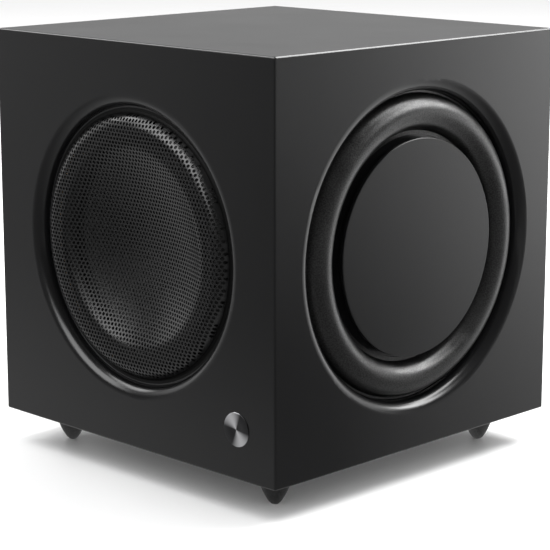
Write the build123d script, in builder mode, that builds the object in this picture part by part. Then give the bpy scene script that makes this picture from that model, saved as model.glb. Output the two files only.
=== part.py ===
from build123d import *

import os
from math import acos, asin, atan2, cos, degrees, hypot, pi, radians, sin, sqrt, tan

# A compact powered subwoofer: a cube-shaped cabinet on four cone feet. One woofer fires forward
# behind a pressed steel grille, and a passive radiator fires out of each side. The amplifier is in
# the back. Millimetres, +Z up, the front faces -Y. The origin is on the floor, under the middle.

os.makedirs("parts", exist_ok=True)

# ---- cabinet ----
cabinet_width = 320
cabinet_depth = 320
cabinet_height = 320
panel = 18
edge_round = 1.5
corner_block = 30
pad_size = 180
pad_thickness = 15

# ---- feet ----
foot_height = 27
foot_inset = 38.6
foot_top_radius = 16.3
foot_tip_radius = 4.6
foot_tip_flat = 3.0
foot_nose_height = 2
foot_collar = 2.5
stud_radius = 3
stud_in_foot = 12
stud_in_panel = 13

# ---- front opening and grille ----
opening_radius = 110
roundover = 10
grille_sheet = 1.0
grille_centre_depth = 17.5
grille_crest_depth = 0.8
grille_rim_width = 25.5
grille_crest_bend = 20
grille_crest_flat = 6.5
grille_shoulder_bend = 12
grille_edge_gap = 1.5
grille_edge_depth = 8.5
grille_skirt_depth = 12.5
ring_wall = 2.8
ring_lip = 1.5
ring_gap = 0.3

# ---- woofer, with heights measured behind the front of its flange ----
flange_set_back = 2
flange_gap = 2.5
flange_land = 10.6
flange_thickness = 3.5
gasket_thickness = 1.5
rebate_gap = 0.5
basket_wall = 3.6
basket_sheet = 2.5
basket_skirt = 8
neck_margin = 3
baffle_hole_gap = 0.6
basket_waist_radius = 60
basket_waist_height = 50
basket_height = 62
window_count = 6
window_margin = 6
window_foot = 10
spider_height = 47
spider_outer_radius = 56
spider_ledge = 6
spider_thickness = 0.8
spider_wave = 1.6
spider_waves = 6
spider_collar = 2
cone_height = 36
cone_thickness = 1.2
cone_land_width = 6
dust_cap_radius = 36
dust_cap_sag = 9
dust_cap_thickness = 1
roll_radius = 8.5
surround_land = 9.5
surround_thickness = 1.0
surround_inner_lip = 5
surround_outer_lip = 1.6
former_radius = 19.3
former_wall = 0.5
former_length = 42
coil_wall = 1.1
coil_length = 20
coil_gap = 0.7
top_plate_radius = 50
top_plate_thickness = 8
magnet_radius = 55
magnet_bore_radius = 30
magnet_thickness = 20
yoke_radius = 50
yoke_thickness = 8
vent_radius = 5
terminal_width = 24
terminal_height = 10
terminal_length = 10
terminal_overlap = 1.5

# ---- passive radiators ----
side_opening_radius = 122
radiator_roll_radius = 14.1
radiator_surround_land = 2.6
radiator_surround_thickness = 1.2
radiator_surround_lip = 4
radiator_lip_depth = 14.5
radiator_plate_gap = 5.2
radiator_plate_depth = 2.2
radiator_plate_thickness = 3
radiator_plate_round = 0.7
radiator_flange_width = 12
radiator_flange_gap = 0.2
radiator_frame_width = 12
radiator_frame_lip = 5
radiator_frame_thickness = 3
radiator_boss_radius = 9
radiator_boss_length = 8
weight_radius = 45
weight_thickness = 10
washer_radius = 13
washer_thickness = 1.6
bolt_radius = 3
bolt_head_radius = 6.5
bolt_head_height = 4

# ---- wood screws: shank, head and how far each goes into the wood ----
woofer_screw_count = 8
woofer_screw_inset = 4.5
woofer_screw_radius = 2
woofer_head_radius = 3.1
woofer_screw_bite = 9
radiator_screw_count = 8
radiator_screw_radius = 1.75
radiator_head_radius = 3
radiator_screw_bite = 8
amp_screw_inset = 4
amp_screw_radius = 1.5
amp_head_radius = 3
amp_screw_bite = 9
head_height_share = 0.7
pilot_spare = 0.5

# ---- badge ----
badge_radius = 13.2
badge_thickness = 1.6
badge_proud = 0.6
badge_inset = 40.5
badge_height = 39

# ---- amplifier ----
plate_width = 189
plate_height = 239
plate_thickness = 3
plate_gap = 0.5
plate_corner = 4
plate_margin = 7
amp_gasket = 1
rear_reach = 10
board_width = 160
board_height = 155
board_middle_v = 32.5
board_gap = 12
board_thickness = 1.6
standoff_inset = 5
standoff_drop = 48
standoff_radius = 3.2
standoff_stud_radius = 1.5
standoff_stud_proud = 3
knob_radius = 9
knob_v = 93
level_u = -52
crossover_u = -16
knob_lift = 0.6
knob_groove_count = 24
knob_groove_radius = 0.8
pointer_width = 1.2
pointer_depth = 0.6
pot_size = 14
bushing_radius = 4.4
stem_radius = 3
stem_length = 9
button_u = 20
button_radius = 3
button_proud = 2
button_collar_wall = 1.4
button_collar_proud = 0.4
button_tail = 4
lens_u = 36
lens_radius = 1.5
lens_proud = 0.5
socket_radius = 4.15
socket_wall = 0.6
socket_length = 8.5
socket_bore_radius = 1.6
socket_flange_radius = 6.5
socket_flange_thickness = 1
socket_body_radius = 5.5
socket_spacing = 16
socket_u = 66
inlet_u = 34
inlet_v = -76
inlet_width = 27
inlet_height = 20
inlet_depth = 22
inlet_bezel = 2
inlet_bezel_border = 2.5
inlet_wall = 1.5
inlet_floor = 3
inlet_corner_cut = 4
blade_width = 2
blade_height = 4
blade_spacing = 7
blade_set_back = 6
switch_u = -34
switch_body_width = 13.8
switch_body_height = 22
switch_depth = 20
switch_bezel = 2
switch_bezel_border = 2
cavity_depth = 9
rocker_angle = 8
rocker_half = 7.6
rocker_length = 10
rocker_crown = 3.6
rocker_dip = 0.6
rocker_pivot_out = 0.5
rocker_gap = 0.35
pivot_radius = 1
pivot_length = 1.3
sink_width = 160
sink_height = 90
sink_middle_v = 16
sink_base = 2
fin_count = 17
fin_thickness = 2
transformer_radius = 36
transformer_bore_radius = 12
transformer_height = 34
transformer_round = 6
transformer_u = -32
capacitor_radius = 12.5
capacitor_height = 36
capacitor_gap = 6
capacitor_u = 38
supply_v = 20

# ---- fits ----
running_gap = 0.05
screw_gap = 0.2
loose_gap = 0.3
baffle_gap = 1.5

# ---- places worked out from the sizes ----
half_width = cabinet_width / 2
half_depth = cabinet_depth / 2
centre_y = (badge_proud - rear_reach) / 2
front_y = centre_y - half_depth
back_y = centre_y + half_depth
base_z = foot_height
top_z = foot_height + cabinet_height
axis_z = foot_height + cabinet_height / 2
inner_height = cabinet_height - 2 * panel
inner_width = cabinet_width - 2 * panel

grille_crest_radius = opening_radius - grille_rim_width
flange_radius = opening_radius - flange_gap
flange_depth = panel + flange_set_back
flange_back = flange_depth + flange_thickness
basket_outer_radius = flange_radius - flange_land
baffle_hole_radius = basket_outer_radius + baffle_hole_gap
basket_waist_depth = flange_depth + basket_waist_height
basket_back_depth = flange_depth + basket_height
spider_depth = flange_depth + spider_height
cone_radius = flange_radius - surround_land - 2 * roll_radius
cone_depth = flange_depth + cone_height
woofer_screw_circle = flange_radius - woofer_screw_inset

radiator_roll_middle = side_opening_radius - radiator_surround_land - radiator_roll_radius
radiator_flange_radius = radiator_roll_middle - radiator_roll_radius - radiator_flange_gap
radiator_plate_radius = radiator_flange_radius + radiator_flange_gap - radiator_plate_gap
radiator_wall_radius = radiator_flange_radius - radiator_flange_width
radiator_frame_radius = side_opening_radius + radiator_frame_width
radiator_screw_circle = side_opening_radius + radiator_frame_width / 2
radiator_gasket_back = panel + gasket_thickness
radiator_frame_back = radiator_gasket_back + radiator_frame_thickness

front_face = Plane(origin=(0, front_y, axis_z), x_dir=(1, 0, 0), z_dir=(0, -1, 0))
rear_face = Plane(origin=(0, back_y, axis_z), x_dir=(-1, 0, 0), z_dir=(0, 1, 0))
right_face = Plane(origin=(half_width, centre_y, axis_z), x_dir=(0, 1, 0), z_dir=(1, 0, 0))
left_face = Plane(origin=(-half_width, centre_y, axis_z), x_dir=(0, -1, 0), z_dir=(-1, 0, 0))


def at_depth(face, depth):
    """The plane that lies this far behind a face of the cabinet."""
    return face.offset(-depth)


def section(face):
    """The plane through a face's axis: x is the radius, y is the depth behind the face."""
    return Plane(origin=face.origin, x_dir=face.x_dir, z_dir=face.x_dir.cross(-face.z_dir))


def axis_of(face):
    return Axis(face.origin, face.z_dir)


def closed_outline(*points):
    """A filled outline with straight sides, in the sketch being made."""
    with BuildLine() as sides:
        Polyline(*points, close=True)
    make_face(sides.edges())


def disc_outline(radius, near, far, bore=0):
    """The section of a disc or ring that lies between two depths."""
    closed_outline((bore, near), (radius, near), (radius, far), (bore, far))


def save(piece, name):
    piece.part.label = name
    export_step(piece.part, f"parts/{name}.step")


# ======== cabinet ========

with BuildPart() as rounded_cabinet:
    with Locations((0, centre_y, axis_z)):
        Box(cabinet_width, cabinet_depth, cabinet_height)
    fillet(rounded_cabinet.edges(), edge_round)


def board_of(centre, size):
    """One cabinet panel: a block whose outer edges follow the rounded cabinet."""
    with Locations(centre):
        Box(*size)
    add(rounded_cabinet.part, mode=Mode.INTERSECT)


def outer_rim(panel_part, face):
    """The circle where a panel's round opening meets the outside of the cabinet."""
    circles = panel_part.edges().filter_by(GeomType.CIRCLE)
    return circles.sort_by_distance(face.origin)[0]


shelf_depth = flange_back + gasket_thickness
rebate_radius = flange_radius + rebate_gap
inner_baffle_back = 2 * panel

badge_plane = Plane(
    origin=(half_width - badge_inset, front_y, base_z + badge_height),
    x_dir=(1, 0, 0),
    z_dir=(0, -1, 0),
)
badge_recess = badge_thickness - badge_proud

with BuildPart() as front_panel:
    board_of((0, front_y + panel / 2, axis_z), (inner_width, panel, inner_height))
    with BuildSketch(front_face):
        Circle(opening_radius)
    extrude(amount=-panel, mode=Mode.SUBTRACT)
    fillet(outer_rim(front_panel, front_face), roundover)
    with BuildSketch(badge_plane):
        Circle(badge_radius + running_gap)
    extrude(amount=-badge_recess, mode=Mode.SUBTRACT)
save(front_panel, "front_panel")

with BuildPart() as badge:
    with BuildSketch(badge_plane.offset(-badge_recess)):
        Circle(badge_radius)
    extrude(amount=badge_thickness)
    fillet(badge.faces().sort_by(Axis.Y)[0].edges(), badge_proud / 2)
save(badge, "badge")

def screw_ring(circle, count):
    """Evenly spaced screw places, half a space away from the horizontal."""
    return PolarLocations(circle, count, 180 / count)


# The inner baffle stops short of the side panels, to clear the radiators' frames, and it is cut
# away where a radiator's screw head would reach it.
radiator_head_height = head_height_share * radiator_head_radius
inner_baffle_width = cabinet_width - 2 * (radiator_frame_back + baffle_gap)
with BuildPart() as inner_baffle:
    board_of((0, front_y + 1.5 * panel, axis_z), (inner_baffle_width, panel, inner_height))
    with BuildSketch(at_depth(front_face, panel)):
        Circle(rebate_radius)
    extrude(amount=-(shelf_depth - panel), mode=Mode.SUBTRACT)
    with BuildSketch(at_depth(front_face, shelf_depth)):
        Circle(baffle_hole_radius)
    extrude(amount=-panel, mode=Mode.SUBTRACT)
    with BuildSketch(at_depth(front_face, shelf_depth)):
        with screw_ring(woofer_screw_circle, woofer_screw_count):
            Circle(woofer_screw_radius + running_gap)
    extrude(amount=-woofer_screw_bite - pilot_spare, mode=Mode.SUBTRACT)
    for face in (right_face, left_face):
        with BuildSketch(at_depth(face, radiator_frame_back)):
            with screw_ring(radiator_screw_circle, radiator_screw_count):
                Circle(radiator_head_radius + loose_gap)
        extrude(amount=-radiator_head_height - loose_gap, mode=Mode.SUBTRACT)
save(inner_baffle, "inner_baffle")


def side_panel(face, middle_x, name):
    """A side of the cabinet with its round opening and the pilot holes for the radiator's screws."""
    with BuildPart() as side:
        board_of((middle_x, centre_y, axis_z), (panel, cabinet_depth, inner_height))
        with BuildSketch(face):
            Circle(side_opening_radius)
        extrude(amount=-panel, mode=Mode.SUBTRACT)
        fillet(outer_rim(side, face), roundover)
        with BuildSketch(at_depth(face, panel)):
            with screw_ring(radiator_screw_circle, radiator_screw_count):
                Circle(radiator_screw_radius + running_gap)
        extrude(amount=radiator_screw_bite + pilot_spare, mode=Mode.SUBTRACT)
    save(side, name)


side_panel(right_face, half_width - panel / 2, "right_panel")
side_panel(left_face, panel / 2 - half_width, "left_panel")

foot_places = [
    (side * (half_width - foot_inset), centre_y + end * (half_depth - foot_inset))
    for side in (-1, 1)
    for end in (-1, 1)
]

with BuildPart() as top_panel:
    board_of((0, centre_y, top_z - panel / 2), (cabinet_width, cabinet_depth, panel))
save(top_panel, "top_panel")

with BuildPart() as bottom_panel:
    board_of((0, centre_y, base_z + panel / 2), (cabinet_width, cabinet_depth, panel))
    with BuildSketch(Plane.XY.offset(base_z)):
        with Locations(*foot_places):
            Circle(stud_radius + running_gap)
    extrude(amount=stud_in_panel, mode=Mode.SUBTRACT)
save(bottom_panel, "bottom_panel")

rebate_depth = plate_thickness + amp_gasket
amp_screw_places = [
    (u * (plate_width / 2 - amp_screw_inset), v * (plate_height / 2 - amp_screw_inset) / 1.5)
    for u in (-1, 1)
    for v in (-1.5, -0.5, 0.5, 1.5)
] + [(0, v * (plate_height / 2 - amp_screw_inset)) for v in (-1, 1)]

with BuildPart() as rear_panel:
    board_of((0, back_y - panel / 2, axis_z), (inner_width, panel, inner_height))
    with BuildSketch(rear_face):
        RectangleRounded(plate_width + 2 * plate_gap, plate_height + 2 * plate_gap, plate_corner)
    extrude(amount=-rebate_depth, mode=Mode.SUBTRACT)
    with BuildSketch(rear_face):
        Rectangle(plate_width - 2 * plate_margin, plate_height - 2 * plate_margin)
    extrude(amount=-panel, mode=Mode.SUBTRACT)
    with BuildSketch(at_depth(rear_face, rebate_depth)):
        with Locations(*amp_screw_places):
            Circle(amp_screw_radius + running_gap)
    extrude(amount=-amp_screw_bite - pilot_spare, mode=Mode.SUBTRACT)
save(rear_panel, "rear_panel")

# Glue blocks fill the eight inner corners, the front ones behind the inner baffle.
block_front_y = front_y + inner_baffle_back + corner_block / 2
block_back_y = back_y - panel - corner_block / 2
with BuildPart() as corner_blocks:
    with Locations(
        *[
            (
                x * (inner_width - corner_block) / 2,
                y,
                axis_z + z * (inner_height - corner_block) / 2,
            )
            for x in (-1, 1)
            for y in (block_front_y, block_back_y)
            for z in (-1, 1)
        ]
    ):
        Box(corner_block, corner_block, corner_block)
save(corner_blocks, "corner_blocks")

with BuildPart() as damping_pads:
    with Locations(
        (0, centre_y, top_z - panel - pad_thickness / 2),
        (0, centre_y, base_z + panel + pad_thickness / 2),
    ):
        Box(pad_size, pad_size, pad_thickness)
save(damping_pads, "damping_pads")

# ======== feet ========

foot_names = ("left_front_foot", "left_rear_foot", "right_front_foot", "right_rear_foot")
for (x, y), name in zip(foot_places, foot_names):
    with BuildPart() as foot:
        with BuildSketch(Plane(origin=(x, y, 0), x_dir=(1, 0, 0), z_dir=(0, -1, 0))):
            with BuildLine():
                tip = Line((0, 0), (foot_tip_flat, 0))
                nose = ThreePointArc(
                    tip @ 1,
                    (foot_tip_flat + 0.75 * (foot_tip_radius - foot_tip_flat), 0.3 * foot_nose_height),
                    (foot_tip_radius, foot_nose_height),
                )
                Polyline(
                    nose @ 1,
                    (foot_top_radius, foot_height - foot_collar),
                    (foot_top_radius, foot_height),
                    (0, foot_height),
                    (0, 0),
                )
            make_face()
        revolve(axis=Axis((x, y, 0), (0, 0, 1)))
        with BuildSketch(Plane(origin=(x, y, foot_height))):
            Circle(stud_radius + running_gap)
        extrude(amount=-stud_in_foot, mode=Mode.SUBTRACT)
    save(foot, name)

with BuildPart() as foot_studs:
    with BuildSketch(Plane.XY.offset(foot_height - stud_in_foot)):
        with Locations(*foot_places):
            Circle(stud_radius)
    extrude(amount=stud_in_foot + stud_in_panel)
save(foot_studs, "foot_studs")

# ======== grille ========

# The sheet is a shallow round bowl that bends up to a flat crest near the rim and then down to
# its skirt. The bowl's radius follows from its depth and from meeting the crest bend smoothly.
grille_rise = grille_centre_depth - grille_crest_depth
bowl_radius = (grille_crest_radius**2 + grille_rise**2) / (2 * grille_rise) - grille_crest_bend
bowl_angle = degrees(asin(grille_crest_radius / (bowl_radius + grille_crest_bend)))
edge_radius = opening_radius - grille_edge_gap
shoulder_run = edge_radius - grille_crest_radius - grille_crest_flat
shoulder_rest = grille_shoulder_bend - grille_edge_depth + grille_crest_depth
shoulder_angle = degrees(
    atan2(shoulder_run, shoulder_rest) - acos(grille_shoulder_bend / hypot(shoulder_run, shoulder_rest))
)


def grille_side(inset, reverse=False):
    """One side of the sheet's section, from the axis to the skirt, this far behind the front."""
    bowl = JernArc((0, grille_centre_depth + inset), (1, 0), bowl_radius + inset, -bowl_angle)
    crest = JernArc(bowl @ 1, bowl % 1, grille_crest_bend - inset, bowl_angle)
    flat = Line(crest @ 1, (crest @ 1) + Vector(grille_crest_flat, 0))
    shoulder = JernArc(flat @ 1, (1, 0), grille_shoulder_bend - inset, shoulder_angle)
    skirt_radius = edge_radius - inset
    slope = tan(radians(shoulder_angle))
    bend = Vector(skirt_radius, (shoulder @ 1).Y + (skirt_radius - (shoulder @ 1).X) * slope)
    flank = Line(shoulder @ 1, bend)
    Line(flank @ 1, (skirt_radius, grille_skirt_depth))


with BuildPart() as grille:
    with BuildSketch(section(front_face)):
        with BuildLine():
            grille_side(0)
            grille_side(grille_sheet)
            Line((0, grille_centre_depth), (0, grille_centre_depth + grille_sheet))
            Line((edge_radius - grille_sheet, grille_skirt_depth), (edge_radius, grille_skirt_depth))
        make_face()
    revolve(axis=axis_of(front_face))
save(grille, "grille")

# The sheet's skirt sits in this ring's groove, and the ring is pushed into the opening.
ring_radius = opening_radius - ring_gap
groove_inner = edge_radius - grille_sheet - running_gap
groove_outer = edge_radius + running_gap
with BuildPart() as grille_ring:
    with BuildSketch(section(front_face)):
        closed_outline(
            (groove_outer, grille_edge_depth + ring_lip),
            (ring_radius, grille_edge_depth + ring_lip),
            (ring_radius, panel),
            (ring_radius - ring_wall, panel),
            (ring_radius - ring_wall, grille_skirt_depth - ring_lip),
            (groove_inner, grille_skirt_depth - ring_lip),
            (groove_inner, grille_skirt_depth),
            (groove_outer, grille_skirt_depth),
        )
    revolve(axis=axis_of(front_face))
save(grille_ring, "grille_ring")

# ======== woofer ========


def bolt_holes(face, depth, length, circle, count, radius):
    """A circle of holes, cut from this depth on into the cabinet."""
    with BuildSketch(at_depth(face, depth)) as holes:
        with screw_ring(circle, count):
            Circle(radius)
    extrude(holes.sketch, amount=-length, mode=Mode.SUBTRACT)


spider_ledge_radius = spider_outer_radius - spider_ledge
basket_floor = basket_back_depth - basket_sheet
window_top = flange_back + basket_skirt + window_margin
window_length = basket_waist_depth - window_foot - window_top
window_height = basket_waist_radius - 4
magnet_front = basket_back_depth + top_plate_thickness
magnet_back = magnet_front + magnet_thickness
coil_middle = basket_back_depth + top_plate_thickness / 2
coil_outer_radius = former_radius + coil_wall
gap_outer_radius = coil_outer_radius + coil_gap
basket_neck_radius = gap_outer_radius + neck_margin
pole_radius = former_radius - former_wall - coil_gap

with BuildPart() as woofer_basket:
    with BuildSketch(section(front_face)):
        closed_outline(
            (basket_outer_radius - basket_wall, flange_depth),
            (flange_radius, flange_depth),
            (flange_radius, flange_back),
            (basket_outer_radius, flange_back),
            (basket_outer_radius, flange_back + basket_skirt),
            (basket_waist_radius, basket_waist_depth),
            (basket_waist_radius, basket_back_depth),
            (basket_neck_radius, basket_back_depth),
            (basket_neck_radius, basket_floor),
            (spider_ledge_radius, basket_floor),
            (spider_ledge_radius, spider_depth),
            (basket_waist_radius - basket_sheet, spider_depth),
            (basket_outer_radius - basket_wall, flange_back + basket_skirt - 1),
        )
    revolve(axis=axis_of(front_face))
    with BuildSketch(at_depth(front_face, window_top)):
        with PolarLocations((basket_outer_radius + basket_waist_radius) / 2, window_count):
            Rectangle(1.2 * (basket_outer_radius - basket_waist_radius), window_height)
    extrude(amount=-window_length, mode=Mode.SUBTRACT)
    bolt_holes(
        front_face,
        flange_depth,
        flange_thickness,
        woofer_screw_circle,
        woofer_screw_count,
        woofer_screw_radius + screw_gap,
    )
save(woofer_basket, "woofer_basket")


def socket_screws(face, head_depth, inward, places, shank_radius, length, head_radius):
    """Pan-head screws with a hexagon socket. Inward is 1 when they go into the cabinet."""
    head_height = head_height_share * head_radius
    with BuildSketch(at_depth(face, head_depth)) as heads:
        with places:
            Circle(head_radius)
    extrude(heads.sketch, amount=inward * head_height)
    with BuildSketch(at_depth(face, head_depth)) as shanks:
        with places:
            Circle(shank_radius)
    extrude(shanks.sketch, amount=-inward * length)
    with BuildSketch(at_depth(face, head_depth - inward * head_height)) as sockets:
        with places:
            RegularPolygon(0.5 * head_radius, 6)
    extrude(sockets.sketch, amount=-inward * head_height * 0.7, mode=Mode.SUBTRACT)


with BuildPart() as woofer_screws:
    socket_screws(
        front_face,
        flange_depth,
        1,
        screw_ring(woofer_screw_circle, woofer_screw_count),
        woofer_screw_radius,
        flange_thickness + gasket_thickness + woofer_screw_bite,
        woofer_head_radius,
    )
save(woofer_screws, "woofer_screws")

with BuildPart() as top_plate:
    with BuildSketch(section(front_face)):
        disc_outline(top_plate_radius, basket_back_depth, magnet_front, gap_outer_radius)
    revolve(axis=axis_of(front_face))
save(top_plate, "top_plate")

with BuildPart() as magnet:
    with BuildSketch(section(front_face)):
        disc_outline(magnet_radius, magnet_front, magnet_back, magnet_bore_radius)
    revolve(axis=axis_of(front_face))
    rims = magnet.edges().filter_by(GeomType.CIRCLE)
    fillet(rims.filter_by(lambda e: e.radius > magnet_bore_radius + 1), 1)
save(magnet, "magnet")

with BuildPart() as yoke:
    with BuildSketch(section(front_face)):
        closed_outline(
            (vent_radius, basket_back_depth),
            (pole_radius, basket_back_depth),
            (pole_radius, magnet_back),
            (yoke_radius, magnet_back),
            (yoke_radius, magnet_back + yoke_thickness),
            (vent_radius, magnet_back + yoke_thickness),
        )
    revolve(axis=axis_of(front_face))
save(yoke, "yoke")


def surround_outline(middle, radius, back, thickness, inner_lip, outer_lip):
    """A half-roll with a flat lip on each side. Back is the depth that the lips' backs lie at."""
    lip_front = back - thickness
    foot = sqrt(radius**2 - thickness**2)
    inner_radius = radius - thickness
    with BuildLine() as roll:
        Line((inner_lip, back), (inner_lip, lip_front))
        Line((inner_lip, lip_front), (middle - foot, lip_front))
        ThreePointArc((middle - foot, lip_front), (middle, back - radius), (middle + foot, lip_front))
        Polyline((middle + foot, lip_front), (outer_lip, lip_front), (outer_lip, back))
        Line((outer_lip, back), (middle + inner_radius, back))
        ThreePointArc(
            (middle + inner_radius, back),
            (middle, back - inner_radius),
            (middle - inner_radius, back),
        )
        Line((middle - inner_radius, back), (inner_lip, back))
    make_face(roll.edges())


roll_middle = cone_radius + roll_radius
roll_outer_radius = cone_radius + 2 * roll_radius
with BuildPart() as woofer_surround:
    with BuildSketch(section(front_face)):
        surround_outline(
            roll_middle,
            roll_radius,
            flange_depth,
            surround_thickness,
            cone_radius - surround_inner_lip,
            roll_outer_radius + surround_outer_lip,
        )
    revolve(axis=axis_of(front_face))
save(woofer_surround, "woofer_surround")

# The cone's rim is a flat land behind the surround's inner lip. Its neck is glued to the former.
cone_land = cone_radius - cone_land_width
cone_slope = (cone_depth - flange_depth) / (cone_land - former_radius)
with BuildPart() as cone:
    with BuildSketch(section(front_face)):
        closed_outline(
            (cone_radius, flange_depth),
            (cone_radius, flange_depth + cone_thickness),
            (cone_land - cone_thickness / 2, flange_depth + cone_thickness),
            (former_radius, cone_depth + cone_thickness),
            (former_radius, cone_depth),
            (cone_land, flange_depth),
        )
    revolve(axis=axis_of(front_face))
save(cone, "cone")

# An inverted cap: a shallow round bowl whose rim is glued to the cone.
cap_rim_depth = flange_depth + (cone_land - dust_cap_radius) * cone_slope - running_gap
cap_bend = (dust_cap_radius**2 + dust_cap_sag**2) / (2 * dust_cap_sag)
cap_angle = degrees(asin(dust_cap_radius / cap_bend))
cap_depth = cap_rim_depth + dust_cap_sag
cap_front = cap_depth - dust_cap_thickness
with BuildPart() as dust_cap:
    with BuildSketch(section(front_face)):
        with BuildLine():
            front = JernArc((0, cap_front), (1, 0), cap_bend - dust_cap_thickness, -cap_angle)
            back = JernArc((0, cap_depth), (1, 0), cap_bend, -cap_angle)
            Line(front @ 0, back @ 0)
            Line(front @ 1, back @ 1)
        make_face()
    revolve(axis=axis_of(front_face))
save(dust_cap, "dust_cap")

coil_back = coil_middle + coil_length / 2
with BuildPart() as voice_coil_former:
    with BuildSketch(section(front_face)):
        disc_outline(
            former_radius,
            coil_back - former_length,
            coil_back,
            former_radius - former_wall,
        )
    revolve(axis=axis_of(front_face))
save(voice_coil_former, "voice_coil_former")

with BuildPart() as voice_coil:
    with BuildSketch(section(front_face)):
        disc_outline(coil_outer_radius, coil_back - coil_length, coil_back, former_radius)
    revolve(axis=axis_of(front_face))
save(voice_coil, "voice_coil")

wave_length = (spider_ledge_radius - former_radius - 2 * spider_collar) / spider_waves
spider_front = [(former_radius, spider_depth - spider_thickness)]
for wave in range(spider_waves):
    start = former_radius + spider_collar + wave * wave_length
    spider_front.append((start + 0.25 * wave_length, spider_depth - spider_thickness - spider_wave))
    spider_front.append((start + 0.75 * wave_length, spider_depth - spider_thickness + spider_wave))
spider_front.append((spider_ledge_radius - spider_collar / 2, spider_depth - spider_thickness))
spider_front.append((spider_outer_radius, spider_depth - spider_thickness))
spider_back = [(radius, depth + spider_thickness) for radius, depth in reversed(spider_front)]
with BuildPart() as spider:
    with BuildSketch(section(front_face)):
        closed_outline(*spider_front, *spider_back)
    revolve(axis=axis_of(front_face))
save(spider, "spider")

# The terminal block is fixed under the basket's waist, with two tags on its back.
terminal_middle_y = front_y + basket_waist_depth + 1 + terminal_length / 2
terminal_middle_z = axis_z - basket_waist_radius - terminal_height / 2
with BuildPart() as woofer_terminals:
    with Locations((0, terminal_middle_y, terminal_middle_z + terminal_overlap)):
        Box(terminal_width, terminal_length, terminal_height)
    with BuildSketch(at_depth(front_face, basket_waist_depth)):
        Circle(basket_waist_radius)
    extrude(amount=-2 * terminal_length, mode=Mode.SUBTRACT)
save(woofer_terminals, "woofer_terminals")

# ======== passive radiators ========

frame_neck_radius = side_opening_radius - loose_gap
frame_inner_radius = radiator_roll_middle + radiator_roll_radius - radiator_frame_lip
plate_back = radiator_plate_depth + radiator_plate_thickness
wall_inner_radius = radiator_wall_radius - radiator_plate_thickness
boss_back = plate_back + radiator_boss_length
weight_back = plate_back + weight_thickness


def radiator(face, side):
    """One passive radiator: its frame, and the plate, weight and surround that move."""
    with BuildPart() as frame:
        with BuildSketch(section(face)):
            closed_outline(
                (frame_inner_radius, radiator_lip_depth),
                (frame_neck_radius, radiator_lip_depth),
                (frame_neck_radius, radiator_gasket_back),
                (radiator_frame_radius, radiator_gasket_back),
                (radiator_frame_radius, radiator_frame_back),
                (frame_inner_radius, radiator_frame_back),
            )
        revolve(axis=axis_of(face))
        bolt_holes(
            face,
            radiator_gasket_back,
            radiator_frame_thickness,
            radiator_screw_circle,
            radiator_screw_count,
            radiator_screw_radius + screw_gap,
        )
    save(frame, f"{side}_radiator_frame")

    with BuildPart() as plate:
        with BuildSketch(section(face)):
            closed_outline(
                (0, radiator_plate_depth),
                (radiator_plate_radius, radiator_plate_depth),
                (radiator_plate_radius, plate_back),
                (radiator_wall_radius, plate_back),
                (radiator_wall_radius, radiator_lip_depth),
                (radiator_flange_radius, radiator_lip_depth),
                (radiator_flange_radius, radiator_lip_depth + radiator_plate_thickness),
                (wall_inner_radius, radiator_lip_depth + radiator_plate_thickness),
                (wall_inner_radius, plate_back),
                (radiator_boss_radius, plate_back),
                (radiator_boss_radius, boss_back),
                (0, boss_back),
            )
        revolve(axis=axis_of(face))
        rims = plate.edges().filter_by(GeomType.CIRCLE)
        fillet(rims.filter_by(lambda e: e.radius == radiator_plate_radius), radiator_plate_round)
        with BuildSketch(at_depth(face, boss_back)):
            Circle(bolt_radius + running_gap)
        extrude(amount=radiator_boss_length, mode=Mode.SUBTRACT)
    save(plate, f"{side}_radiator_plate")

    with BuildPart() as surround:
        with BuildSketch(section(face)):
            surround_outline(
                radiator_roll_middle,
                radiator_roll_radius,
                radiator_lip_depth,
                radiator_surround_thickness,
                radiator_flange_radius - radiator_surround_lip,
                frame_neck_radius - loose_gap,
            )
        revolve(axis=axis_of(face))
    save(surround, f"{side}_radiator_surround")

    with BuildPart() as weight:
        with BuildSketch(section(face)):
            disc_outline(weight_radius, plate_back, weight_back, radiator_boss_radius + loose_gap)
        revolve(axis=axis_of(face))
        rims = weight.edges().filter_by(GeomType.CIRCLE)
        chamfer(rims.filter_by(lambda e: e.radius > weight_radius - 1), 1)
    save(weight, f"{side}_radiator_weight")

    with BuildPart() as bolt:
        with BuildSketch(section(face)):
            disc_outline(washer_radius, weight_back, weight_back + washer_thickness)
        revolve(axis=axis_of(face))
        with BuildSketch(at_depth(face, weight_back + washer_thickness)):
            RegularPolygon(bolt_head_radius, 6)
        extrude(amount=-bolt_head_height)
        with BuildSketch(at_depth(face, weight_back)):
            Circle(bolt_radius)
        extrude(amount=weight_thickness - 2)
    save(bolt, f"{side}_radiator_bolt")


radiator(right_face, "right")
radiator(left_face, "left")

# Foam gaskets seal the woofer's flange and the two radiators' frames.
woofer_seat = (front_face, flange_back, flange_radius, baffle_hole_radius)
woofer_holes = (woofer_screw_circle, woofer_screw_count, woofer_screw_radius + screw_gap)
radiator_seats = [
    (face, panel, radiator_frame_radius, side_opening_radius) for face in (right_face, left_face)
]
radiator_holes = (radiator_screw_circle, radiator_screw_count, radiator_screw_radius + screw_gap)
gaskets = [(woofer_seat, woofer_holes)] + [(seat, radiator_holes) for seat in radiator_seats]
with BuildPart() as driver_gaskets:
    for (face, depth, outer_radius, bore), (circle, count, hole_radius) in gaskets:
        with BuildSketch(section(face)):
            disc_outline(outer_radius, depth, depth + gasket_thickness, bore)
        revolve(axis=axis_of(face))
        bolt_holes(face, depth, gasket_thickness, circle, count, hole_radius)
save(driver_gaskets, "driver_gaskets")

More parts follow.
